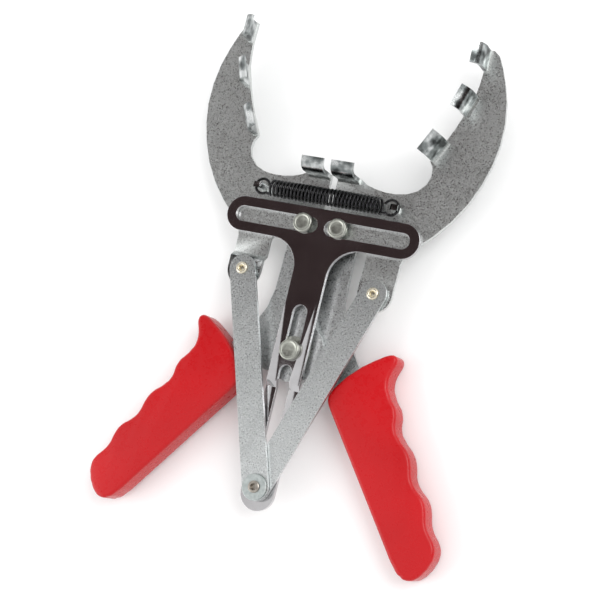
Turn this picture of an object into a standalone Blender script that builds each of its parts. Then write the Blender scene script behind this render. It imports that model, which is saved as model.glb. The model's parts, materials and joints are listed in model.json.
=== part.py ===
"""Piston ring expander pliers: a slotted T-shaped guide plate carries two sliding, tilting jaws.

Two levers pinned together behind the stem push the jaws apart, two links keep them level, and a
coil spring closes them. X runs across, Y along the stem towards the jaws, Z forward. Metres.
"""

import math

import bmesh
import bpy
from mathutils import Matrix, Vector

MM = 0.001
GAP = 0.3

# The built shape is moved so that the origin is the middle of the underside of its bounding box
SHIFT = (0.0, 24.63, 15.6)

# Guide plate
PLATE_T = 2.0
BAR_Y = -0.3
BAR_R = 7.8
BAR_SLOT_HALF = 3.4
BAR_SLOT_X = (5.1, 37.6)
STEM_HALF = 7.8
STEM_END_Y = -117.2
FILLET_R = 13.0
UPPER_SLOT_HALF = 3.3
UPPER_SLOT_Y = (-56.2, -38.5)
LOWER_SLOT_HALF = 2.9
LOWER_SLOT_Y = (-117.2, -64.6)
STEM_JOGGLE_Y = (-69.4, -71.8)
STEM_JOGGLE_DROP = -1.5

# Joints
BOLT_X = 8.15
PIVOT_Y = -55.1
RIVET_X = 30.6
RIVET_Y = -24.6
PIN_Y = -115.0

# Jaws
JAW_T = 2.0
JAW_FRONT = -PLATE_T - GAP
JAW_OUTER = (
    (54.6, 87.2), (57.6, 87.2), (60.2, 85.2), (62.6, 80.5), (65.4, 73.5), (67.8, 65.5),
    (69.2, 56.5), (69.3, 47.0), (67.9, 38.0), (65.3, 29.1), (61.5, 20.3), (56.0, 11.6),
    (49.5, 4.0), (43.0, -2.0), (39.6, -6.0), (38.4, -10.0),
)
JAW_TAB_X = (22.8, 38.4)
JAW_LOWER_INNER = ((22.8, -9.0), (21.0, -6.5), (15.0, -7.0), (6.0, -7.0), (2.6, -5.5), (1.6, -3.0))
JAW_BAY = (
    (1.6, 23.4), (12.4, 23.4), (15.4, 21.6), (19.5, 20.3), (24.0, 19.6), (29.0, 19.5),
    (34.0, 20.3), (38.5, 22.3), (41.6, 25.6), (43.0, 29.6), (42.6, 33.2), (40.9, 36.0),
    (45.9, 45.8), (48.6, 51.6), (50.7, 57.2), (53.9, 67.0), (54.5, 72.0), (54.9, 77.4),
)
TAB_JOGGLE_Y = (-17.2, -19.4)
TAB_JOGGLE_RISE = {"left": 2.7, "right": 0.8}
TAB_TOP = 10.6
TAB_LIP = 3.0
CENTRE_LIP = 4.0
TAB_INSET = 0.2
TABS = (
    ((1.7, 23.4), (12.2, 23.4), CENTRE_LIP),
    ((40.9, 36.0), (45.9, 45.8), TAB_LIP),
    ((50.7, 57.2), (53.9, 67.0), TAB_LIP),
    ((54.9, 77.4), (54.8, 87.0), TAB_LIP),
)
HOOK_X = 31.5
HOOK_Y = 12.6
HOOK_HALF = 1.3
HOOK_TOP = 4.6

# Levers and grips
LEVER_T = 2.5
LEVER_FRONT = {"left": JAW_FRONT - JAW_T - GAP, "right": JAW_FRONT - JAW_T - LEVER_T - 2 * GAP}
DISC_R = 13.4
ARM_HALF = 7.3
HANDLE_ANGLE = math.radians(36.9)
GRIP_OFFSET = 5.4
GRIP_HALF = 6.0
BLADE_W = (3.2, 17.6)
BLADE_END = 84.0
GRIP_OUTLINE = (
    (31.0, 0.0), (98.0, 0.0), (104.0, 0.6), (107.6, 2.4), (109.2, 5.4), (109.0, 9.0),
    (107.6, 13.0), (105.2, 16.6), (102.2, 18.9), (98.8, 19.6), (95.8, 19.4), (93.0, 19.4),
    (90.0, 20.0), (87.0, 21.3), (83.8, 22.3), (80.4, 22.4), (76.8, 21.5), (73.4, 21.1),
    (70.2, 21.6), (66.8, 23.0), (63.2, 24.0), (59.6, 24.0), (55.6, 23.1), (51.4, 22.8),
    (48.4, 23.6), (45.4, 25.4), (41.8, 26.4), (37.0, 26.2), (32.6, 26.8), (29.2, 28.8),
    (26.8, 31.6), (25.0, 34.2), (22.8, 35.4), (20.8, 34.4), (19.9, 31.6), (19.5, 26.0),
    (19.5, 20.0), (20.5, 12.0), (22.6, 5.0), (24.6, 1.6), (27.4, 0.2),
)
GRIP_BEVEL = 2.2

# Links
LINK_T = 1.6
LINK_HALF = 6.0
LINK_BACK = {"left": 0.7, "right": -1.2}

# Hardware
BOLT_SHANK_R = 2.8
BOLT_HOLE_R = 3.1
BOLT_HEAD_R = 4.3
PIVOT_SHANK_R = 2.7
PIVOT_HEAD_R = 4.5
PIVOT_LOOSE_R = 4.0
RIVET_SHANK_R = 1.6
RIVET_HEAD_R = 2.6
RIVET_FLANGE_R = 3.8
EAR_HOLE_R = 2.7
PIN_R = 1.9
PIN_LOOSE_R = 3.4
WASHER_R = 5.6
NUT_R = 5.4
NUT_H = 3.4
ROUND = 40

# Spring
SPRING_Z = 2.3
SPRING_Y = 12.6
SPRING_R = 3.3
SPRING_WIRE = 0.6
SPRING_TURNS = 30
SPRING_HALF = 25.6
EYE_X = 30.4
EYE_R = 3.3


def clear_scene():
    for obj in list(bpy.data.objects):
        bpy.data.objects.remove(obj, do_unlink=True)


def material(name, colour, roughness, metallic):
    made = bpy.data.materials.new(name)
    made.use_nodes = True
    shader = made.node_tree.nodes["Principled BSDF"]
    shader.inputs["Base Color"].default_value = (*colour, 1.0)
    shader.inputs["Roughness"].default_value = roughness
    shader.inputs["Metallic"].default_value = metallic
    return made


def object_from(name, bm, look=None, hidden=False):
    bmesh.ops.recalc_face_normals(bm, faces=bm.faces)
    mesh = bpy.data.meshes.new(name)
    bm.to_mesh(mesh)
    bm.free()
    mesh.update()
    obj = bpy.data.objects.new(name, mesh)
    bpy.context.scene.collection.objects.link(obj)
    if look is not None:
        mesh.materials.append(look)
    if hidden:
        obj.hide_render = True
        obj.display_type = "WIRE"
    return obj


def prism(outline, low, high):
    """A bmesh of the outline (mm) swept between two heights."""
    bm = bmesh.new()
    bottom = [bm.verts.new((x * MM, y * MM, low * MM)) for x, y in outline]
    top = [bm.verts.new((x * MM, y * MM, high * MM)) for x, y in outline]
    count = len(outline)
    for i in range(count):
        j = (i + 1) % count
        bm.faces.new((bottom[i], bottom[j], top[j], top[i]))
    bm.faces.new(top)
    bm.faces.new(bottom[::-1])
    return bm


def arc(cx, cy, radius, start, end, steps):
    """Points on an arc, angles in degrees."""
    points = []
    for i in range(steps + 1):
        angle = math.radians(start + (end - start) * i / steps)
        points.append((cx + radius * math.cos(angle), cy + radius * math.sin(angle)))
    return points


def circle(cx, cy, radius, steps=ROUND):
    return arc(cx, cy, radius, 0, 360, steps)[:-1]


def slot(ax, ay, bx, by, radius, steps=14):
    """A full-round slot or bar between two centres."""
    heading = math.degrees(math.atan2(by - ay, bx - ax))
    far = arc(bx, by, radius, heading - 90, heading + 90, steps)
    near = arc(ax, ay, radius, heading + 90, heading + 270, steps)
    return far + near


def modify(obj, other, operation):
    step = obj.modifiers.new(operation.lower(), "BOOLEAN")
    step.operation = operation
    step.solver = "EXACT"
    step.object = other


def settled(obj):
    """Replaces the object's mesh by its evaluated one and drops its modifiers and helpers."""
    helpers = [step.object for step in obj.modifiers]
    bpy.context.view_layer.update()
    graph = bpy.context.evaluated_depsgraph_get()
    mesh = bpy.data.meshes.new_from_object(obj.evaluated_get(graph))
    obj.modifiers.clear()
    old = obj.data
    obj.data = mesh
    bpy.data.meshes.remove(old)
    for helper in helpers:
        if helper is not None:
            bpy.data.objects.remove(helper, do_unlink=True)
    return obj


def plate(name, outline, low, high, holes, look):
    """A flat plate with through holes."""
    obj = object_from(name, prism(outline, low, high), look)
    for index, hole in enumerate(holes):
        cutter = object_from(f"{name}_cut{index}", prism(hole, low - 3, high + 3), hidden=True)
        modify(obj, cutter, "DIFFERENCE")
    return settled(obj) if holes else obj


def joggle(obj, start_y, end_y, rise):
    """Steps everything beyond start_y by rise, over a short slope."""
    bm = bmesh.new()
    bm.from_mesh(obj.data)
    for y in (start_y, end_y):
        bmesh.ops.bisect_plane(
            bm,
            geom=list(bm.verts) + list(bm.edges) + list(bm.faces),
            plane_co=(0, y * MM, 0),
            plane_no=(0, 1, 0),
            dist=1e-7,
        )
    for vert in bm.verts:
        share = (start_y * MM - vert.co.y) / ((start_y - end_y) * MM)
        vert.co.z += rise * MM * min(max(share, 0.0), 1.0)
    bm.to_mesh(obj.data)
    bm.free()
    obj.data.update()
    return obj


def lathe(name, profile, x, y, look, steps=ROUND):
    """A closed solid turned about the Z line through (x, y); profile is (radius, z) in mm."""
    bm = bmesh.new()
    rings = []
    for radius, z in profile:
        if radius == 0:
            rings.append([bm.verts.new((x * MM, y * MM, z * MM))])
            continue
        ring = [bm.verts.new((px * MM, py * MM, z * MM)) for px, py in circle(x, y, radius, steps)]
        rings.append(ring)
    for lower, upper in zip(rings, rings[1:]):
        join_rings(bm, lower, upper, steps)
    if len(rings[0]) > 1:
        join_rings(bm, rings[-1], rings[0], steps)
    return object_from(name, bm, look)


def join_rings(bm, lower, upper, steps):
    for i in range(steps):
        j = (i + 1) % steps
        if len(lower) == 1:
            bm.faces.new((lower[0], upper[i], upper[j]))
        elif len(upper) == 1:
            bm.faces.new((lower[i], lower[j], upper[0]))
        else:
            bm.faces.new((lower[i], lower[j], upper[j], upper[i]))


def mirrored(points, side):
    sign = -1 if side == "left" else 1
    return [(sign * x, y) for x, y in points]


def build_guide(look):
    outline = arc(37.7, BAR_Y, BAR_R, -90, 90, 18)
    outline += arc(-37.7, BAR_Y, BAR_R, 90, 270, 18)
    left = -STEM_HALF - FILLET_R
    fillet_y = BAR_Y - BAR_R - FILLET_R
    outline += arc(left, fillet_y, FILLET_R, 90, 0, 10)
    outline += arc(0, STEM_END_Y, STEM_HALF, 180, 360, 24)
    outline += arc(-left, fillet_y, FILLET_R, 180, 90, 10)
    inner, outer = BAR_SLOT_X
    holes = (
        slot(inner, BAR_Y, outer, BAR_Y, BAR_SLOT_HALF),
        slot(-outer, BAR_Y, -inner, BAR_Y, BAR_SLOT_HALF),
        slot(0, UPPER_SLOT_Y[0], 0, UPPER_SLOT_Y[1], UPPER_SLOT_HALF),
        slot(0, LOWER_SLOT_Y[0], 0, LOWER_SLOT_Y[1], LOWER_SLOT_HALF),
    )
    guide = plate("guide_plate", outline, -PLATE_T, 0.0, holes, look)
    return joggle(guide, *STEM_JOGGLE_Y, STEM_JOGGLE_DROP)


def tab_solid(name, start, end, lip):
    """An upright tab along start-end on the plate, its top curled towards the ring's centre."""
    sx, sy = start
    ex, ey = end
    along = Vector((ex - sx, ey - sy, 0)).normalized()
    inward = Vector((-along.y, along.x, 0))
    back = JAW_FRONT - JAW_T
    low = back + 0.1
    outside = [(-2.6, low), (-2.6, JAW_FRONT - 0.1), (-1.9, JAW_FRONT + 0.7), (-1.6, JAW_FRONT + 1.8)]
    outside += [(-1.6, 5.6), (-1.2, 7.4), (-0.2, 9.0), (1.2, 10.0), (lip, TAB_TOP)]
    inside = [(lip + 0.3, TAB_TOP - 1.4), (1.6, 8.6), (0.7, 7.6), (0.2, 6.2), (0.1, 4.8)]
    inside += [(0.1, JAW_FRONT + 0.4), (-0.3, low)]
    profile = outside + inside
    length = (Vector((ex, ey, 0)) - Vector((sx, sy, 0))).length
    bm = bmesh.new()
    rings = []
    for step in (TAB_INSET, length - TAB_INSET):
        ring = []
        for offset, z in profile:
            spot = Vector((sx, sy, 0)) + along * step + inward * offset
            ring.append(bm.verts.new((spot.x * MM, spot.y * MM, z * MM)))
        rings.append(ring)
    near, far = rings
    for i in range(len(profile)):
        j = (i + 1) % len(profile)
        bm.faces.new((near[i], near[j], far[j], far[i]))
    bm.faces.new(near[::-1])
    bm.faces.new(far)
    return object_from(name, bm, hidden=True)


def build_jaw(side, look):
    back = JAW_FRONT - JAW_T
    inner, outer = JAW_TAB_X
    middle = (inner + outer) / 2
    end = arc(middle, RIVET_Y, (outer - inner) / 2, 0, -180, 16)
    outline = list(JAW_OUTER) + end + list(JAW_LOWER_INNER) + list(JAW_BAY)
    jaw = object_from(f"{side}_jaw", prism(outline, back, JAW_FRONT), look)
    for x, y, radius in ((BOLT_X, 0.0, BOLT_HOLE_R), (RIVET_X, RIVET_Y, EAR_HOLE_R)):
        cutter = object_from(f"{side}_jaw_hole", prism(circle(x, y, radius), back - 3, 3), hidden=True)
        modify(jaw, cutter, "DIFFERENCE")
    for index, (start, stop, lip) in enumerate(TABS):
        modify(jaw, tab_solid(f"{side}_tab{index}", start, stop, lip), "UNION")
    post = [
        (HOOK_X - HOOK_HALF, back + 0.2), (HOOK_X + HOOK_HALF, back + 0.2),
        (HOOK_X + HOOK_HALF, 3.2), (HOOK_X + 2.4, 3.9), (HOOK_X + 2.4, HOOK_TOP),
        (HOOK_X - 0.3, HOOK_TOP), (HOOK_X - HOOK_HALF, 3.6),
    ]
    hook = prism(post, -HOOK_HALF, HOOK_HALF)
    turn = Matrix.Translation((0, HOOK_Y * MM, 0)) @ Matrix.Rotation(math.radians(90), 4, "X")
    bmesh.ops.transform(hook, matrix=turn, verts=hook.verts)
    modify(jaw, object_from(f"{side}_hook", hook, hidden=True), "UNION")
    settled(jaw)
    joggle(jaw, *TAB_JOGGLE_Y, TAB_JOGGLE_RISE[side])
    if side == "left":
        mirror_x(jaw)
    return jaw


def mirror_x(obj):
    for vert in obj.data.vertices:
        vert.co.x = -vert.co.x
    obj.data.flip_normals()
    obj.data.update()
    return obj


def handle_point(s, w):
    """From (distance along the handle, distance outward of its inner edge) to x, y, right side."""
    along = (math.sin(HANDLE_ANGLE), -math.cos(HANDLE_ANGLE))
    outward = (math.cos(HANDLE_ANGLE), math.sin(HANDLE_ANGLE))
    w += GRIP_OFFSET
    return (along[0] * s + outward[0] * w, PIVOT_Y + along[1] * s + outward[1] * w)


def build_lever(side, look):
    front = LEVER_FRONT[side]
    back = front - LEVER_T
    outline = arc(BOLT_X, 0.0, ARM_HALF, 0, 180, 18)
    outline += [(0.85, -6.0), (-1.2, -30.0), (-6.0, -42.0)]
    outline += arc(0, PIVOT_Y, DISC_R, 128, 292, 22)
    outline += [handle_point(17.0, BLADE_W[0]), handle_point(BLADE_END, BLADE_W[0])]
    outline += [handle_point(BLADE_END, BLADE_W[1] - 4), handle_point(19.6, BLADE_W[1])]
    outline += [(25.4, -50.2), (20.6, -44.6), (17.6, -38.4), (15.9, -30.0), (15.6, -20.0), (15.5, -6.0)]
    loose = PIVOT_LOOSE_R if side == "right" else PIVOT_SHANK_R + GAP
    holes = [circle(BOLT_X, 0.0, BOLT_HOLE_R), circle(0, PIVOT_Y, loose)]
    lever = plate(f"{side}_lever", outline, back, front, holes, look)
    if side == "left":
        mirror_x(lever)
    return lever


def offset_outline(points, amount):
    """Moves each edge of a closed outline inward by amount, keeping the corner count."""
    count = len(points)
    area = sum(
        points[i][0] * points[(i + 1) % count][1] - points[(i + 1) % count][0] * points[i][1]
        for i in range(count)
    )
    sign = 1 if area > 0 else -1
    moved = []
    for i in range(count):
        before = Vector(points[i - 1])
        here = Vector(points[i])
        after = Vector(points[(i + 1) % count])
        first = (here - before).normalized()
        second = (after - here).normalized()
        normal = Vector((-first.y - second.y, first.x + second.x)).normalized() * sign
        spread = max(normal.dot(Vector((-second.y, second.x)) * sign), 0.6)
        spot = here + normal * amount / spread
        moved.append((spot.x, spot.y))
    return moved


def build_grip(side, look):
    middle = LEVER_FRONT[side] - LEVER_T / 2
    outline = [handle_point(s, w) for s, w in GRIP_OUTLINE]
    layers = (
        (GRIP_HALF, GRIP_BEVEL), (GRIP_HALF - 0.5, 1.0), (GRIP_HALF - GRIP_BEVEL, 0.0),
        (GRIP_BEVEL - GRIP_HALF, 0.0), (0.5 - GRIP_HALF, 1.0), (-GRIP_HALF, GRIP_BEVEL),
    )
    bm = bmesh.new()
    rings = []
    for height, inset in layers:
        loop = offset_outline(outline, inset)
        rings.append([bm.verts.new((x * MM, y * MM, (middle + height) * MM)) for x, y in loop])
    count = len(outline)
    for upper, lower in zip(rings, rings[1:]):
        for i in range(count):
            j = (i + 1) % count
            bm.faces.new((lower[i], lower[j], upper[j], upper[i]))
    bm.faces.new(rings[0])
    bm.faces.new(rings[-1][::-1])
    grip = object_from(f"{side}_grip", bm, look)
    pocket = [
        handle_point(12.0, BLADE_W[0] - GAP), handle_point(BLADE_END + GAP, BLADE_W[0] - GAP),
        handle_point(BLADE_END + GAP, BLADE_W[1] - 4 + GAP), handle_point(19.6, BLADE_W[1] + GAP),
        handle_point(12.0, BLADE_W[1] + 2.4),
    ]
    low = middle - LEVER_T / 2 - GAP
    high = middle + LEVER_T / 2 + GAP
    modify(grip, object_from(f"{side}_pocket", prism(pocket, low, high), hidden=True), "DIFFERENCE")
    settled(grip)
    if side == "left":
        mirror_x(grip)
    return grip


def build_link(side, look):
    back = LINK_BACK[side]
    sign = -1 if side == "left" else 1
    outline = slot(0, PIN_Y, sign * RIVET_X, RIVET_Y, LINK_HALF, 20)
    lower = PIN_LOOSE_R if side == "right" else PIN_R + GAP
    holes = [circle(sign * RIVET_X, RIVET_Y, RIVET_SHANK_R + GAP), circle(0, PIN_Y, lower, 28)]
    return plate(f"{side}_link", outline, back, back + LINK_T, holes, look)


def hex_nut(name, x, y, front, look, hole):
    outline = arc(x, y, NUT_R, 0, 300, 5)
    return plate(name, outline, front - NUT_H, front, [circle(x, y, hole, 24)], look)


def washer(name, x, y, radius, hole, back, front, look):
    profile = [(hole, back), (radius, back), (radius, front), (hole, front)]
    return lathe(name, profile, x, y, look)


def bolt(name, x, y, shank, head, head_top, end, look):
    profile = [
        (0, end), (shank, end), (shank, GAP), (head, GAP), (head, head_top - 0.5),
        (head - 0.5, head_top), (head - 1.3, head_top), (head - 1.5, head_top - 0.3),
        (0, head_top - 0.3),
    ]
    return lathe(name, profile, x, y, look)


def build_hardware(looks):
    zinc = looks["zinc_hardware"]
    for side, sign in (("left", -1), ("right", 1)):
        x = sign * BOLT_X
        lever_back = LEVER_FRONT[side] - LEVER_T
        if side == "left":
            washer_back = lever_back - GAP - 0.9
            washer("left_slide_washer", x, 0, WASHER_R, BOLT_HOLE_R, washer_back, washer_back + 0.9, zinc)
            nut_front = washer_back - GAP
        else:
            spacer_front = JAW_FRONT - JAW_T - GAP
            spacer_back = LEVER_FRONT["right"] + GAP
            washer("right_slide_spacer", x, 0, WASHER_R, BOLT_HOLE_R, spacer_back, spacer_front, zinc)
            nut_front = lever_back - GAP
        hex_nut(f"{side}_slide_nut", x, 0, nut_front, zinc, BOLT_HOLE_R)
        bolt(f"{side}_slide_bolt", x, 0, BOLT_SHANK_R, BOLT_HEAD_R, 2.4, nut_front - NUT_H - 0.8, zinc)
    spacer_front = -PLATE_T - GAP
    spacer_back = LEVER_FRONT["left"] + GAP
    washer("pivot_spacer", 0, PIVOT_Y, 6.4, PIVOT_SHANK_R + GAP, spacer_back, spacer_front, zinc)
    lever_back = LEVER_FRONT["right"] - LEVER_T
    washer_back = lever_back - GAP - 0.9
    washer("pivot_washer", 0, PIVOT_Y, 7.0, PIVOT_SHANK_R + GAP, washer_back, washer_back + 0.9, zinc)
    nut_front = washer_back - GAP
    hex_nut("pivot_nut", 0, PIVOT_Y, nut_front, zinc, PIVOT_SHANK_R + GAP)
    bolt("pivot_bolt", 0, PIVOT_Y, PIVOT_SHANK_R, PIVOT_HEAD_R, 2.6, nut_front - NUT_H - 0.8, zinc)
    for side, sign in (("left", -1), ("right", 1)):
        front = LINK_BACK[side] + LINK_T + GAP
        rear = JAW_FRONT - JAW_T + TAB_JOGGLE_RISE[side] - GAP
        profile = [
            (0, rear - 0.8), (RIVET_FLANGE_R, rear - 0.8), (RIVET_FLANGE_R, rear),
            (RIVET_SHANK_R, rear),
            (RIVET_SHANK_R, front), (RIVET_HEAD_R, front), (RIVET_HEAD_R, front + 0.3),
            (1.9, front + 0.8), (1.3, front + 0.8), (1.0, front + 0.2), (0, front + 0.2),
        ]
        lathe(f"{side}_link_rivet", profile, sign * RIVET_X, RIVET_Y, looks["brass_rivet"], 28)
    washer_back = LINK_BACK["left"] + LINK_T + GAP
    washer("link_pin_washer", 0, PIN_Y, WASHER_R, PIN_R + GAP, washer_back, washer_back + 0.8, zinc)
    stem_back = STEM_JOGGLE_DROP - PLATE_T
    rear = stem_back - GAP - 0.8
    washer("link_pin_rear_washer", 0, PIN_Y, 5.0, PIN_R + GAP, rear, rear + 0.8, zinc)
    top = washer_back + 0.8 + GAP
    profile = [
        (0, rear - GAP - 0.9), (3.0, rear - GAP - 0.9), (3.0, rear - GAP), (PIN_R, rear - GAP),
        (PIN_R, top), (2.6, top), (2.6, top + 0.2), (2.1, top + 0.5), (1.4, top + 0.5),
        (1.1, top - 1.2), (0, top - 1.2),
    ]
    lathe("link_pin", profile, 0, PIN_Y, looks["pin_steel"], 28)


def spring_path():
    """Centre line of the spring: an eye, the coil, and the other eye."""
    steps = SPRING_TURNS * 12
    coil = []
    for i in range(steps + 1):
        share = i / steps
        angle = 2 * math.pi * SPRING_TURNS * share
        x = -SPRING_HALF + 2 * SPRING_HALF * share
        coil.append(
            Vector((x, SPRING_Y - SPRING_R * math.cos(angle), SPRING_Z + SPRING_R * math.sin(angle)))
        )
    first = eye_points(-1)
    last = [Vector((-p.x, p.y, p.z)) for p in reversed(first)]
    return first + coil + last


def eye_points(sign):
    """A loop that leaves the coil's end turn and nearly closes on itself, left side."""
    points = []
    for i in range(15):
        angle = math.radians(20 + 290 * i / 14)
        x = sign * EYE_X + EYE_R * math.cos(angle)
        y = SPRING_Y + EYE_R * math.sin(angle)
        points.append(Vector((x, y, SPRING_Z)))
    return points


def build_spring(look):
    path = spring_path()
    bm = bmesh.new()
    sides = 6
    rings = []
    side_way = None
    for i, point in enumerate(path):
        before = path[max(i - 1, 0)]
        after = path[min(i + 1, len(path) - 1)]
        ahead = (after - before).normalized()
        if side_way is None:
            side_way = ahead.orthogonal().normalized()
        side_way = (side_way - ahead * side_way.dot(ahead)).normalized()
        other = ahead.cross(side_way)
        ring = []
        for k in range(sides):
            angle = 2 * math.pi * k / sides
            offset = (side_way * math.cos(angle) + other * math.sin(angle)) * SPRING_WIRE
            ring.append(bm.verts.new((point + offset) * MM))
        rings.append(ring)
    for one, two in zip(rings, rings[1:]):
        for k in range(sides):
            j = (k + 1) % sides
            bm.faces.new((one[k], one[j], two[j], two[k]))
    bm.faces.new(rings[0][::-1])
    bm.faces.new(rings[-1])
    return object_from("return_spring", bm, look)


def main():
    clear_scene()
    looks = {
        "chrome_plate": material("chrome_plate", (0.55, 0.55, 0.57), 0.08, 1.0),
        "zinc_sheet": material("zinc_sheet", (0.62, 0.63, 0.63), 0.38, 1.0),
        "zinc_hardware": material("zinc_hardware", (0.50, 0.52, 0.48), 0.35, 1.0),
        "brass_rivet": material("brass_rivet", (0.72, 0.66, 0.52), 0.30, 1.0),
        "pin_steel": material("pin_steel", (0.45, 0.43, 0.40), 0.35, 1.0),
        "spring_steel": material("spring_steel", (0.02, 0.02, 0.02), 0.25, 1.0),
        "red_plastic": material("red_plastic", (0.55, 0.004, 0.008), 0.22, 0.0),
    }
    build_guide(looks["chrome_plate"])
    for side in ("left", "right"):
        build_jaw(side, looks["zinc_sheet"])
        build_lever(side, looks["zinc_sheet"])
        build_grip(side, looks["red_plastic"])
        build_link(side, looks["zinc_sheet"])
    build_hardware(looks)
    build_spring(looks["spring_steel"])
    for obj in bpy.data.objects:
        obj.data.transform(Matrix.Translation(Vector(SHIFT) * MM))
        obj.data.update()


main()
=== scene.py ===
"""Looks for the piston ring expander pliers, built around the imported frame."""

import json
import math

import bmesh
import bpy
from mathutils import Matrix, Vector

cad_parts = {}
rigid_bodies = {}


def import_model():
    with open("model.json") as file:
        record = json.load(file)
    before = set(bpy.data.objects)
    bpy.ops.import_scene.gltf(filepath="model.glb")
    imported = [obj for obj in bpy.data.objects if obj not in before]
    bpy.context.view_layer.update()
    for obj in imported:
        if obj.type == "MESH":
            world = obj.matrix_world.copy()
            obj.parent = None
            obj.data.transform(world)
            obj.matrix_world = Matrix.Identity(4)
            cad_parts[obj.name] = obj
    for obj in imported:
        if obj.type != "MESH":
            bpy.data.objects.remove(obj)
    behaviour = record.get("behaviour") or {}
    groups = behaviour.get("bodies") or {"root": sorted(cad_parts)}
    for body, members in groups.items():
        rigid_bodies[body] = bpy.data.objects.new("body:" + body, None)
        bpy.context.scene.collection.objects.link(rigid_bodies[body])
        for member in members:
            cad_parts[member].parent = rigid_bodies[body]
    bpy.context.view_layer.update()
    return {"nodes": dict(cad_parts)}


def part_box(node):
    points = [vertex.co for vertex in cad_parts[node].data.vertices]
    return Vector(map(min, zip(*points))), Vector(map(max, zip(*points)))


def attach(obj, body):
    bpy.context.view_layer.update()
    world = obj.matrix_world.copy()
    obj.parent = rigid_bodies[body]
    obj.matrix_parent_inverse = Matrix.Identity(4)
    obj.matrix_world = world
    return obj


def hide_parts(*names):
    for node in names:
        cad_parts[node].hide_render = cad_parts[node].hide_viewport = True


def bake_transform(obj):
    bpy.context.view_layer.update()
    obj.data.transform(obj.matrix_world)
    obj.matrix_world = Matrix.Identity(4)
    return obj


MM = 0.001
SHIFT = Vector((0.0, 24.63, 15.6))

CAMERA_AT = Vector((0.2423, -0.0691, 0.5852))
CAMERA_FORWARD = Vector((-0.3913, 0.0972, -0.9151))
CAMERA_UP = Vector((-0.1817, 0.9667, 0.1804))
CAMERA_LENS = 87.0

PIVOT_Y = -55.1
HANDLE_ANGLE = math.radians(36.9)
GRIP_OFFSET = 5.4
GRIP_HALF = 6.0
OUTLINE_STEP = 4.0
GRIP_EDGE = 1.5
GRIP_EDGE_STEPS = 6
GRIP_OUTLINE = (
    (31.0, 0.0), (98.0, 0.0), (104.0, 0.6), (107.6, 2.4), (109.2, 5.4), (109.0, 9.0),
    (107.6, 13.0), (105.2, 16.6), (102.2, 18.9), (98.8, 19.6), (95.8, 19.4), (93.0, 19.4),
    (90.0, 20.0), (87.0, 21.3), (83.8, 22.3), (80.4, 22.4), (76.8, 21.5), (73.4, 21.1),
    (70.2, 21.6), (66.8, 23.0), (63.2, 24.0), (59.6, 24.0), (55.6, 23.1), (51.4, 22.8),
    (48.4, 23.6), (45.4, 25.4), (41.8, 26.4), (37.0, 26.2), (32.6, 26.8), (29.2, 28.8),
    (26.8, 31.6), (25.0, 34.2), (22.8, 35.4), (20.8, 34.4), (19.9, 31.6), (19.5, 26.0),
    (19.5, 20.0), (20.5, 12.0), (22.6, 5.0), (24.6, 1.6), (27.4, 0.2),
)
LEVER_MIDDLE = {"left": -5.85, "right": -8.65}

BOLT_X = 8.15
RIVET_X = 30.6
RIVET_Y = -24.6
RIVET_END = 0.8
PIN_Y = -115.0
ROUND = 64
TAB_HEIGHTS = (0.0137, 0.0156)

SPRING_Z = 2.3
SPRING_Y = 12.6
SPRING_R = 3.3
SPRING_WIRE = 0.6
SPRING_TURNS = 30
SPRING_HALF = 25.6
EYE_X = 30.4
EYE_R = 3.3
EYE_STEPS = 24
EYE_START, EYE_SWEEP = 20, 290
STEPS_PER_TURN = 20
WIRE_SIDES = 8


# ---------------------------------------------------------------- materials
def new_material(name):
    made = bpy.data.materials.new(name)
    made.use_nodes = True
    tree = made.node_tree
    return made, tree, tree.nodes["Principled BSDF"]


def add(tree, kind, **values):
    node = tree.nodes.new(kind)
    for key, value in values.items():
        if key in node.inputs:
            node.inputs[key].default_value = value
        else:
            setattr(node, key, value)
    return node


def ramp(tree, source, stops):
    node = tree.nodes.new("ShaderNodeValToRGB")
    elements = node.color_ramp.elements
    elements[0].position, elements[0].color = stops[0][0], (*stops[0][1], 1)
    elements[1].position, elements[1].color = stops[-1][0], (*stops[-1][1], 1)
    for position, colour in stops[1:-1]:
        element = elements.new(position)
        element.color = (*colour, 1)
    tree.links.new(source, node.inputs["Fac"])
    return node.outputs["Color"]


def noise(tree, scale, detail=2.0, roughness=0.5):
    place = tree.nodes.new("ShaderNodeTexCoord")
    node = add(tree, "ShaderNodeTexNoise", Scale=scale, Detail=detail, Roughness=roughness)
    tree.links.new(place.outputs["Object"], node.inputs["Vector"])
    return node.outputs["Fac"]


def bump(tree, height, strength, distance):
    node = add(tree, "ShaderNodeBump", Strength=strength, Distance=distance)
    tree.links.new(height, node.inputs["Height"])
    return node.outputs["Normal"]


def above_face(tree, low, high):
    """0 on the flat sheet, rising to 1 on what stands up from it, between two heights in metres."""
    place = tree.nodes.new("ShaderNodeTexCoord")
    split = tree.nodes.new("ShaderNodeSeparateXYZ")
    tree.links.new(place.outputs["Object"], split.inputs[0])
    span = add(tree, "ShaderNodeMapRange")
    span.inputs["From Min"].default_value = low
    span.inputs["From Max"].default_value = high
    tree.links.new(split.outputs["Z"], span.inputs["Value"])
    return span.outputs["Result"]


def blend_colour(tree, share, first, second):
    node = tree.nodes.new("ShaderNodeMixRGB")
    tree.links.new(share, node.inputs["Fac"])
    tree.links.new(first, node.inputs["Color1"])
    tree.links.new(second, node.inputs["Color2"])
    return node.outputs["Color"]


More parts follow.
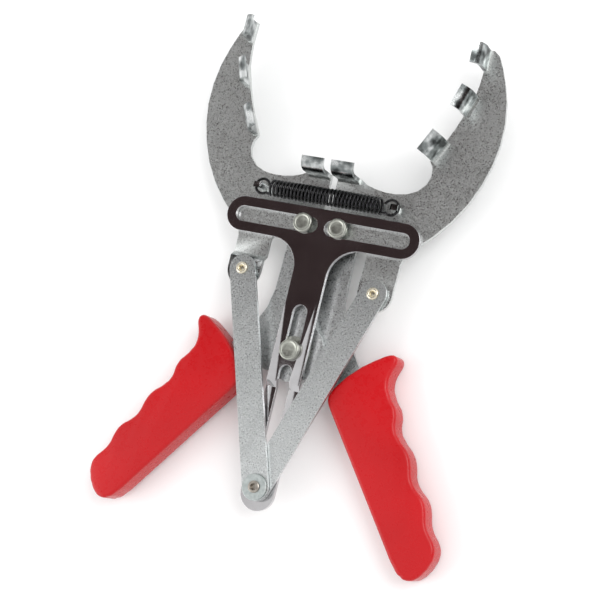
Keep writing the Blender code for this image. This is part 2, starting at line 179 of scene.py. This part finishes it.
def grained_metal(name, dark, light, rough, grain, strength, tabs=False):
    """Plated metal with a fine crystalline grain that glints. Bent-up tabs get a smoother roughness and
    painted reflection: dark-to-light streaks in their colour.
    """
    made, tree, shader = new_material(name)
    shader.inputs["Metallic"].default_value = 1.0
    speckle = noise(tree, grain, 3.0, 0.65)
    cloud = noise(tree, 45.0, 3.0, 0.6)
    mix = add(tree, "ShaderNodeMath", operation="MULTIPLY_ADD")
    mix.inputs[1].default_value = 0.3
    tree.links.new(cloud, mix.inputs[0])
    tree.links.new(speckle, mix.inputs[2])
    colour = ramp(tree, mix.outputs[0], ((0.45, dark), (0.85, light)))
    low, high = rough
    gloss = ramp(tree, speckle, ((0.3, (low,) * 3), (0.7, (high,) * 3)))
    if tabs:
        raised = above_face(tree, *TAB_HEIGHTS)
        streaks = noise(tree, 170.0, 2.0, 0.5)
        # painted reflection: dark and light streaks in the tabs' colour stand in for what the bent-up
        # tabs reflect
        painted_reflection = ramp(
            tree, streaks,
            ((0.36, (0.05, 0.055, 0.055)), (0.5, (0.26, 0.28, 0.28)), (0.64, (0.66, 0.68, 0.68))),
        )
        smooth = ramp(tree, streaks, ((0.3, (0.10,) * 3), (0.7, (0.18,) * 3)))
        colour = blend_colour(tree, raised, colour, painted_reflection)
        gloss = blend_colour(tree, raised, gloss, smooth)
    tree.links.new(colour, shader.inputs["Base Color"])
    tree.links.new(gloss, shader.inputs["Roughness"])
    tree.links.new(bump(tree, speckle, strength, 0.0002), shader.inputs["Normal"])
    return made


def chrome(name):
    """Polished plate: nearly mirror-smooth, with faint handling haze."""
    made, tree, shader = new_material(name)
    shader.inputs["Metallic"].default_value = 1.0
    haze = noise(tree, 60.0, 4.0, 0.6)
    fine = noise(tree, 900.0, 2.0, 0.5)
    colour = ramp(tree, haze, ((0.3, (0.50, 0.49, 0.50)), (0.7, (0.62, 0.61, 0.62))))
    tree.links.new(colour, shader.inputs["Base Color"])
    gloss = ramp(tree, haze, ((0.35, (0.05,) * 3), (0.75, (0.13,) * 3)))
    tree.links.new(gloss, shader.inputs["Roughness"])
    tree.links.new(bump(tree, fine, 0.05, 0.0001), shader.inputs["Normal"])
    return made


def plain_metal(name, dark, light, low, high, scale=700.0, strength=0.15):
    made, tree, shader = new_material(name)
    shader.inputs["Metallic"].default_value = 1.0
    fine = noise(tree, scale, 3.0, 0.6)
    tree.links.new(ramp(tree, fine, ((0.3, dark), (0.7, light))), shader.inputs["Base Color"])
    gloss = ramp(tree, fine, ((0.3, (low,) * 3), (0.7, (high,) * 3)))
    tree.links.new(gloss, shader.inputs["Roughness"])
    tree.links.new(bump(tree, fine, strength, 0.0001), shader.inputs["Normal"])
    return made


def red_plastic(name):
    """Glossy moulded plastic with a faint orange peel."""
    made, tree, shader = new_material(name)
    wide = noise(tree, 30.0, 2.0, 0.5)
    colour = ramp(tree, wide, ((0.3, (0.44, 0.0015, 0.004)), (0.7, (0.52, 0.0025, 0.006))))
    tree.links.new(colour, shader.inputs["Base Color"])
    fine = noise(tree, 420.0, 2.0, 0.5)
    gloss = ramp(tree, fine, ((0.3, (0.24,) * 3), (0.7, (0.34,) * 3)))
    tree.links.new(gloss, shader.inputs["Roughness"])
    tree.links.new(bump(tree, fine, 0.05, 0.0002), shader.inputs["Normal"])
    shader.inputs["IOR"].default_value = 1.42
    return made


# ---------------------------------------------------------------- mesh helpers
def spot(x, y, z):
    return (Vector((x, y, z)) + SHIFT) * MM


def object_from(name, bm, look):
    bmesh.ops.recalc_face_normals(bm, faces=bm.faces)
    mesh = bpy.data.meshes.new(name)
    bm.to_mesh(mesh)
    bm.free()
    mesh.materials.append(look)
    for face in mesh.polygons:
        face.use_smooth = True
    mesh.update()
    obj = bpy.data.objects.new(name, mesh)
    bpy.context.scene.collection.objects.link(obj)
    return obj


def soften(obj, width, segments=2, angle=30.0):
    step = obj.modifiers.new("edge", "BEVEL")
    step.width = width * MM
    step.segments = segments
    step.limit_method = "ANGLE"
    step.angle_limit = math.radians(angle)
    step.use_clamp_overlap = True
    step.harden_normals = True
    return obj


def refined(node, body, look, width):
    """A copy of a CAD node with its flat faces joined up and its edges rounded."""
    source = frame["nodes"][node]
    bm = bmesh.new()
    bm.from_mesh(source.data)
    bmesh.ops.remove_doubles(bm, verts=bm.verts, dist=1e-6)
    bmesh.ops.dissolve_limit(
        bm, angle_limit=math.radians(1.0), use_dissolve_boundaries=False,
        verts=bm.verts, edges=bm.edges,
    )
    obj = object_from(f"{node}_finish", bm, look)
    obj.data.set_sharp_from_angle(angle=math.radians(32.0))
    soften(obj, width)
    return dressed(obj, body, node)


def lathe(name, profile, x, y, look, steps=ROUND):
    """A solid turned about the Z line through (x, y); profile is (radius, z) in mm."""
    bm = bmesh.new()
    rings = []
    for radius, z in profile:
        if radius == 0:
            rings.append([bm.verts.new(spot(x, y, z))])
            continue
        ring = []
        for i in range(steps):
            angle = 2 * math.pi * i / steps
            ring.append(bm.verts.new(spot(x + radius * math.cos(angle), y + radius * math.sin(angle), z)))
        rings.append(ring)
    pairs = list(zip(rings, rings[1:]))
    if len(rings[0]) > 1:
        pairs.append((rings[-1], rings[0]))
    for lower, upper in pairs:
        for i in range(steps):
            j = (i + 1) % steps
            if len(lower) == 1:
                bm.faces.new((lower[0], upper[i], upper[j]))
            elif len(upper) == 1:
                bm.faces.new((lower[i], lower[j], upper[0]))
            else:
                bm.faces.new((lower[i], lower[j], upper[j], upper[i]))
    obj = object_from(name, bm, look)
    obj.data.set_sharp_from_angle(angle=math.radians(40.0))
    return obj


def dressed(obj, body, node):
    """Rides the piece on its body, in place of its CAD node."""
    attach(obj, body)
    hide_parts(node)
    return obj


# ---------------------------------------------------------------- grips
def handle_point(s, w):
    along = (math.sin(HANDLE_ANGLE), -math.cos(HANDLE_ANGLE))
    outward = (math.cos(HANDLE_ANGLE), math.sin(HANDLE_ANGLE))
    w += GRIP_OFFSET
    return (along[0] * s + outward[0] * w, PIVOT_Y + along[1] * s + outward[1] * w)


def split_edges(points, longest):
    """The outline with extra points on its straight runs, so that smoothing can't overshoot."""
    split = []
    for one, two in zip(points, points[1:] + points[:1]):
        parts = max(1, math.ceil((two - one).length / longest))
        split += [one.lerp(two, part / parts) for part in range(parts)]
    return split


def rounded_loop(points, per_edge):
    """A closed Catmull-Rom curve through the outline."""
    points = split_edges([Vector(point) for point in points], OUTLINE_STEP)
    count = len(points)
    loop = []
    for i in range(count):
        a, b, c, d = (points[(i + k - 1) % count] for k in range(4))
        for step in range(per_edge):
            t = step / per_edge
            loop.append(
                0.5 * (2 * b + (c - a) * t + (2 * a - 5 * b + 4 * c - d) * t * t
                       + (3 * b - a - 3 * c + d) * t * t * t)
            )
    return loop


def inset(loop, amount):
    count = len(loop)
    area = sum(loop[i].cross(loop[(i + 1) % count]) for i in range(count))
    sign = 1 if area > 0 else -1
    moved = []
    for i in range(count):
        ahead = (loop[(i + 1) % count] - loop[i - 1]).normalized()
        moved.append(loop[i] + Vector((-ahead.y, ahead.x)) * amount * sign)
    return moved


def build_grip(side, look):
    middle = LEVER_MIDDLE[side]
    loop = rounded_loop([handle_point(s, w) for s, w in GRIP_OUTLINE], 3)
    if side == "left":
        loop = [Vector((-p.x, p.y)) for p in loop]
    layers = []
    for i in range(GRIP_EDGE_STEPS + 1):
        angle = math.radians(90 - 90 * i / GRIP_EDGE_STEPS)
        layers.append((
            GRIP_HALF - GRIP_EDGE * (1 - math.sin(angle)), GRIP_EDGE * (1 - math.cos(angle))
        ))
    layers += [(-h, a) for h, a in reversed(layers)]
    bm = bmesh.new()
    rings = []
    for height, amount in layers:
        rings.append([bm.verts.new(spot(p.x, p.y, middle + height)) for p in inset(loop, amount)])
    count = len(loop)
    for upper, lower in zip(rings, rings[1:]):
        for i in range(count):
            j = (i + 1) % count
            bm.faces.new((lower[i], lower[j], upper[j], upper[i]))
    bm.faces.new(rings[0])
    bm.faces.new(rings[-1][::-1])
    grip = object_from(f"{side}_grip_moulding", bm, look)
    grip.data.set_sharp_from_angle(angle=math.radians(50.0))
    return dressed(grip, f"{side}_lever_arm", f"{side}_grip")


# ---------------------------------------------------------------- spring
def spring_path():
    eye = []
    for i in range(EYE_STEPS + 1):
        angle = math.radians(EYE_START + EYE_SWEEP * i / EYE_STEPS)
        x = -EYE_X + EYE_R * math.cos(angle)
        eye.append(Vector((x, SPRING_Y + EYE_R * math.sin(angle), SPRING_Z)))
    coil = []
    steps = SPRING_TURNS * STEPS_PER_TURN
    for i in range(steps + 1):
        share = i / steps
        angle = 2 * math.pi * SPRING_TURNS * share
        x = -SPRING_HALF + 2 * SPRING_HALF * share
        coil.append(Vector((
            x, SPRING_Y - SPRING_R * math.cos(angle), SPRING_Z + SPRING_R * math.sin(angle)
        )))
    last = [Vector((-p.x, p.y, p.z)) for p in reversed(eye)]
    return eye + coil + last


def build_spring(look):
    path = spring_path()
    bm = bmesh.new()
    rings = []
    side_way = None
    for i, point in enumerate(path):
        ahead = (path[min(i + 1, len(path) - 1)] - path[max(i - 1, 0)]).normalized()
        if side_way is None:
            side_way = ahead.orthogonal().normalized()
        side_way = (side_way - ahead * side_way.dot(ahead)).normalized()
        other = ahead.cross(side_way)
        ring = []
        for k in range(WIRE_SIDES):
            angle = 2 * math.pi * k / WIRE_SIDES
            offset = (side_way * math.cos(angle) + other * math.sin(angle)) * SPRING_WIRE
            ring.append(bm.verts.new((point + offset + SHIFT) * MM))
        rings.append(ring)
    for one, two in zip(rings, rings[1:]):
        for k in range(WIRE_SIDES):
            j = (k + 1) % WIRE_SIDES
            bm.faces.new((one[k], one[j], two[j], two[k]))
    bm.faces.new(rings[0][::-1])
    bm.faces.new(rings[-1])
    spring = object_from("return_spring_wire", bm, look)
    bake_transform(spring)
    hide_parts("return_spring")
    return spring


# ---------------------------------------------------------------- fasteners
def button_bolt(name, x, y, shank, head, top, end, look):
    profile = [
        (0, end), (shank - 0.5, end), (shank, end + 0.5), (shank, 0.3), (head - 0.25, 0.3),
        (head, 0.55), (head, top - 0.55), (head - 0.15, top - 0.2), (head - 0.5, top),
        (head - 1.0, top - 0.02), (head - 1.25, top - 0.2), (head - 1.7, top - 0.28),
        (0, top - 0.22),
    ]
    return lathe(name, profile, x, y, look)


def hollow_rivet(name, x, y, rear, front, look):
    profile = [
        (0, rear - 0.8), (3.4, rear - 0.8), (3.8, rear - 0.5), (3.8, rear), (1.6, rear),
        (1.6, front), (2.6, front), (2.65, front + 0.25), (2.4, front + 0.6), (2.0, front + 0.78),
        (1.6, front + 0.75), (1.25, front + 0.45), (1.1, front - 0.2), (0.9, front - 0.5),
        (0, front - 0.4),
    ]
    return lathe(name, profile, x, y, look, 48)


def build_fasteners(looks):
    zinc = looks["zinc_hardware"]
    for side, sign in (("left", -1), ("right", 1)):
        low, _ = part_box(f"{side}_slide_bolt")
        end = low.z / MM - SHIFT.z
        bolt = button_bolt(f"{side}_slide_bolt_turned", sign * BOLT_X, 0, 2.8, 4.3, 2.4, end, zinc)
        dressed(bolt, f"{side}_slider", f"{side}_slide_bolt")
        refined(f"{side}_slide_nut", f"{side}_slider", zinc, 0.3)
        low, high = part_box(f"{side}_link_rivet")
        rear = low.z / MM - SHIFT.z + RIVET_END
        front = high.z / MM - SHIFT.z - RIVET_END
        rivet = hollow_rivet(
            f"{side}_link_rivet_turned", sign * RIVET_X, RIVET_Y, rear, front, looks["brass_rivet"]
        )
        dressed(rivet, f"{side}_rivet", f"{side}_link_rivet")
    low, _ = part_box("pivot_bolt")
    end = low.z / MM - SHIFT.z
    bolt = button_bolt("pivot_bolt_turned", 0, PIVOT_Y, 2.7, 4.5, 2.6, end, zinc)
    dressed(bolt, "left_lever_arm", "pivot_bolt")
    refined("pivot_nut", "left_lever_arm", zinc, 0.3)
    refined("pivot_washer", "left_lever_arm", zinc, 0.15)
    refined("pivot_spacer", "left_lever_arm", zinc, 0.15)
    refined("left_slide_washer", "left_slider", zinc, 0.15)
    refined("right_slide_spacer", "right_slider", zinc, 0.15)
    refined("link_pin_washer", "left_link_bar", looks["washer"], 0.25)
    refined("link_pin_rear_washer", "left_link_bar", zinc, 0.15)
    refined("link_pin", "left_link_bar", looks["pin_steel"], 0.12)


# ---------------------------------------------------------------- stage
def plane(name, size, centre, look, facing=(0, 0, 1)):
    bm = bmesh.new()
    bmesh.ops.create_grid(bm, x_segments=1, y_segments=1, size=size / 2)
    mesh = bpy.data.meshes.new(name)
    bm.to_mesh(mesh)
    bm.free()
    mesh.materials.append(look)
    obj = bpy.data.objects.new(name, mesh)
    bpy.context.scene.collection.objects.link(obj)
    obj.location = centre
    obj.rotation_euler = Vector(facing).to_track_quat("Z", "Y").to_euler()
    return obj


def area_light(name, location, target, size, power, colour=(1, 1, 1)):
    data = bpy.data.lights.new(name, "AREA")
    data.shape = "RECTANGLE"
    data.size, data.size_y = size
    data.energy = power
    data.color = colour
    obj = bpy.data.objects.new(name, data)
    bpy.context.scene.collection.objects.link(obj)
    obj.location = location
    way = Vector(target) - Vector(location)
    obj.rotation_euler = way.to_track_quat("-Z", "Y").to_euler()
    return obj


def build_stage():
    floor_look, _, shader = new_material("floor_paper")
    shader.inputs["Base Color"].default_value = (0.95, 0.95, 0.95, 1)
    shader.inputs["Roughness"].default_value = 0.9
    plane("floor", 6.0, (0, 0, 0), floor_look)
    card_look, _, shader = new_material("dark_card")
    shader.inputs["Base Color"].default_value = (0.05, 0.035, 0.035, 1)
    shader.inputs["Roughness"].default_value = 1.0
    shader.inputs["Specular IOR Level"].default_value = 0.0
    for name, size, centre, facing in (
        ("overhead_card", (0.62, 0.51), (-0.31, 0.245, 0.745), (0, 0, -1)),
        ("side_card", (0.5, 0.5), (0.75, 0.1, 0.25), (-1, 0, 0)),
    ):
        card = plane(name, 1.0, centre, card_look, facing=facing)
        card.scale = (*size, 1.0)
        card.visible_camera = False
        card.visible_shadow = False
        card.visible_diffuse = False
    world = bpy.data.worlds.new("studio")
    bpy.context.scene.world = world
    world.use_nodes = True
    back = world.node_tree.nodes["Background"]
    back.inputs["Color"].default_value = (1.0, 1.0, 1.0, 1)
    back.inputs["Strength"].default_value = 0.9
    area_light("key", (0.9, 0.5, 1.1), (0, 0, 0), (0.9, 0.9), 9)
    area_light("fill", (-1.2, -0.6, 0.9), (0, 0, 0), (1.0, 1.0), 7)
    bpy.context.scene.view_settings.view_transform = "Standard"


def build_camera():
    data = bpy.data.cameras.new("view")
    data.lens = CAMERA_LENS
    data.sensor_width = 36.0
    data.clip_start = 0.01
    data.clip_end = 20.0
    obj = bpy.data.objects.new("view", data)
    bpy.context.scene.collection.objects.link(obj)
    back = -CAMERA_FORWARD.normalized()
    right = CAMERA_UP.cross(back).normalized()
    up = back.cross(right)
    turn = Matrix((right, up, back)).transposed().to_4x4()
    obj.matrix_world = Matrix.Translation(CAMERA_AT) @ turn
    bpy.context.scene.camera = obj


for old in list(bpy.data.objects):
    bpy.data.objects.remove(old, do_unlink=True)
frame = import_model()

looks = {
    "chrome_plate": chrome("polished_chrome"),
    "zinc_sheet": grained_metal(
        "zinc_sheet_grain", (0.42, 0.44, 0.44), (0.78, 0.80, 0.80), (0.24, 0.40), 1500.0, 0.4
    ),
    "jaw_sheet": grained_metal(
        "zinc_jaw_grain_painted_tab_reflection", (0.50, 0.52, 0.51), (0.80, 0.82, 0.81), (0.24, 0.40), 1700.0, 0.3, tabs=True
    ),
    "zinc_hardware": plain_metal("zinc_bolt", (0.34, 0.35, 0.31), (0.52, 0.53, 0.48), 0.28, 0.42),
    "washer": plain_metal("zinc_washer", (0.42, 0.47, 0.46), (0.60, 0.64, 0.63), 0.30, 0.42),
    "brass_rivet": plain_metal("pale_rivet", (0.66, 0.60, 0.46), (0.82, 0.77, 0.64), 0.22, 0.34),
    "pin_steel": plain_metal("dark_pin", (0.30, 0.27, 0.24), (0.46, 0.43, 0.38), 0.28, 0.40),
    "spring_steel": plain_metal("black_wire", (0.015, 0.015, 0.016), (0.05, 0.05, 0.052), 0.16, 0.26),
    "red_plastic": red_plastic("red_grip"),
}
refined("guide_plate", "guide", looks["chrome_plate"], 0.25)
for side in ("left", "right"):
    refined(f"{side}_jaw", f"{side}_jaw_plate", looks["jaw_sheet"], 0.2)
    refined(f"{side}_lever", f"{side}_lever_arm", looks["zinc_sheet"], 0.25)
    refined(f"{side}_link", f"{side}_link_bar", looks["zinc_sheet"], 0.2)
    build_grip(side, looks["red_plastic"])
build_fasteners(looks)
build_spring(looks["spring_steel"])
build_stage()
build_camera()
